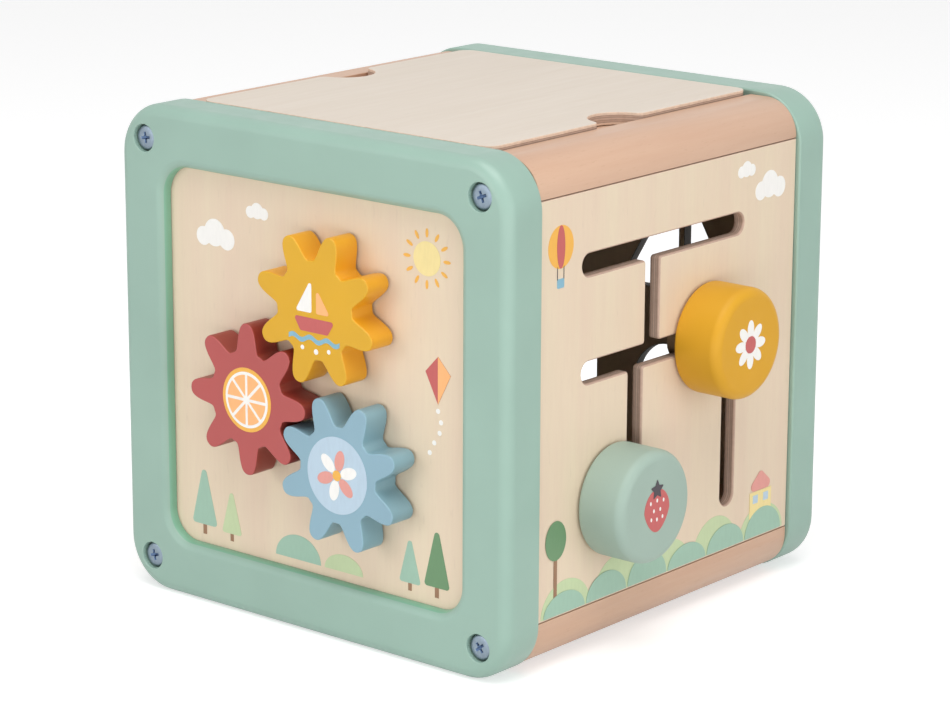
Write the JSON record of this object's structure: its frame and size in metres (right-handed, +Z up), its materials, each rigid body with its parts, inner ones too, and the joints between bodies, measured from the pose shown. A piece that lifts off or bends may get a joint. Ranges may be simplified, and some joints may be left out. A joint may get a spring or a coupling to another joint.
{
  "type": "activity cube",
  "caption": "Wooden activity cube with meshing flower gears on the front, knobs that slide along a slot maze at the side, a shape-sorter back and a lift-off lid.",
  "frame": {"origin": "bottom centre of the object's bounding box, on the surface that the two frames stand on", "axes": "+Z up; -Y is the front with the gears; +X is the side with the slots and the sliding knobs"},
  "size_m": [0.2196, 0.2108, 0.2],
  "materials": {
    "sage_paint": "sage green satin paint",
    "plywood": "bare sanded birch plywood",
    "beech": "bare sanded beech",
    "yellow_paint": "yellow satin paint",
    "red_paint": "dusty red satin paint",
    "blue_paint": "pale blue satin paint",
    "green_paint": "sage green satin paint",
    "birch_dowel": "bare birch",
    "zinc": "zinc plated steel"
  },
  "bodies": {
    "cube_body": {"front_frame": "sage_paint", "back_frame": "sage_paint", "rail_lower_left": "beech", "rail_lower_right": "beech", "rail_upper_right": "beech", "rail_upper_left": "beech", "front_panel": "plywood", "back_panel": "plywood", "left_panel": "plywood", "right_panel": "plywood", "bottom_panel": "plywood", "front_screw_lower_left": "zinc", "front_screw_lower_right": "zinc", "front_screw_upper_right": "zinc", "front_screw_upper_left": "zinc", "back_screw_lower_left": "zinc", "back_screw_lower_right": "zinc", "back_screw_upper_right": "zinc", "back_screw_upper_left": "zinc"},
    "lid": {"lid": "plywood"},
    "red_gear": {"red_gear": "red_paint", "red_gear_axle": "birch_dowel", "red_gear_washer": "birch_dowel"},
    "yellow_gear": {"yellow_gear": "yellow_paint", "yellow_gear_axle": "birch_dowel", "yellow_gear_washer": "birch_dowel"},
    "blue_gear": {"blue_gear": "blue_paint", "blue_gear_axle": "birch_dowel", "blue_gear_washer": "birch_dowel"},
    "yellow_slider": {"yellow_knob_stem": "birch_dowel", "yellow_knob_washer": "birch_dowel"},
    "yellow_knob": {"yellow_knob": "yellow_paint"},
    "green_slider": {"green_knob_stem": "birch_dowel", "green_knob_washer": "birch_dowel"},
    "green_knob": {"green_knob": "green_paint"}
  },
  "joints": [
    {"name": "lid_lift", "type": "slide", "parent": "cube_body", "child": "lid", "axis": [0, 0, 1], "range_m": [0, 0.12]},
    {"name": "red_gear_spin", "type": "hinge", "parent": "cube_body", "child": "red_gear", "pos_m": [-0.03395, -0.0994, 0.0921], "axis": [0, -1, 0], "continuous": true},
    {"name": "yellow_gear_spin", "type": "hinge", "parent": "cube_body", "child": "yellow_gear", "pos_m": [0.00173, -0.0994, 0.13329], "axis": [0, -1, 0], "continuous": true},
    {"name": "blue_gear_spin", "type": "hinge", "parent": "cube_body", "child": "blue_gear", "pos_m": [0.013, -0.0994, 0.0707], "axis": [0, -1, 0], "continuous": true},
    {"name": "yellow_knob_slide", "type": "slide", "parent": "cube_body", "child": "yellow_slider", "axis": [0, 1, 0], "range_m": [-0.0742, 0.0166]},
    {"name": "yellow_knob_turn", "type": "hinge", "parent": "yellow_slider", "child": "yellow_knob", "pos_m": [0.08875, 0.0267, 0.1126], "axis": [1, 0, 0], "continuous": true},
    {"name": "green_knob_slide", "type": "slide", "parent": "cube_body", "child": "green_slider", "axis": [0, 1, 0], "range_m": [-0.0131, 0.0136]},
    {"name": "green_knob_turn", "type": "hinge", "parent": "green_slider", "child": "green_knob", "pos_m": [0.08875, -0.0321, 0.0602], "axis": [1, 0, 0], "continuous": true}
  ],
  "couplings": [
    {"joint": "yellow_gear_spin", "follows": "red_gear_spin", "ratio": -1},
    {"joint": "blue_gear_spin", "follows": "red_gear_spin", "ratio": -1}
  ]
}
